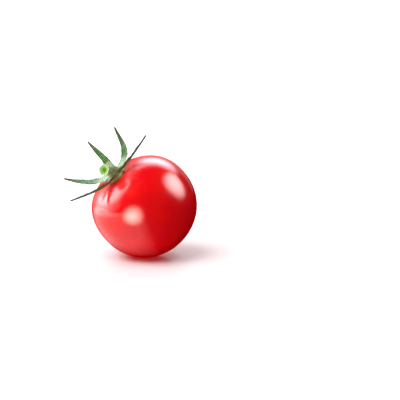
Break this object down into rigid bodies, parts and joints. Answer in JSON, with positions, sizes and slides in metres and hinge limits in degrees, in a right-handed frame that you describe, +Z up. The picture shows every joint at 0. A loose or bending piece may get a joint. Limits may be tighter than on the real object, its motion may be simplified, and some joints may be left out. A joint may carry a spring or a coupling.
{
  "type": "tomato",
  "caption": "Small round vine tomato as picked, with its green star calyx and a cut stub of stem, leaning on a small flat rest spot.",
  "frame": {"origin": "centre of the small flat spot under the fruit, on the surface it rests on", "axes": "+Z up from the surface; the stem end leans up towards -X and a little towards -Y, which is the side the picture's camera looks from"},
  "size_m": [0.0576, 0.0454, 0.0554],
  "materials": {
    "skin": "gloss",
    "sepal": "matte",
    "stalk": "matte"
  },
  "bodies": {
    "root": {"fruit": "skin", "calyx": "sepal", "stem": "stalk"}
  },
  "joints": []
}
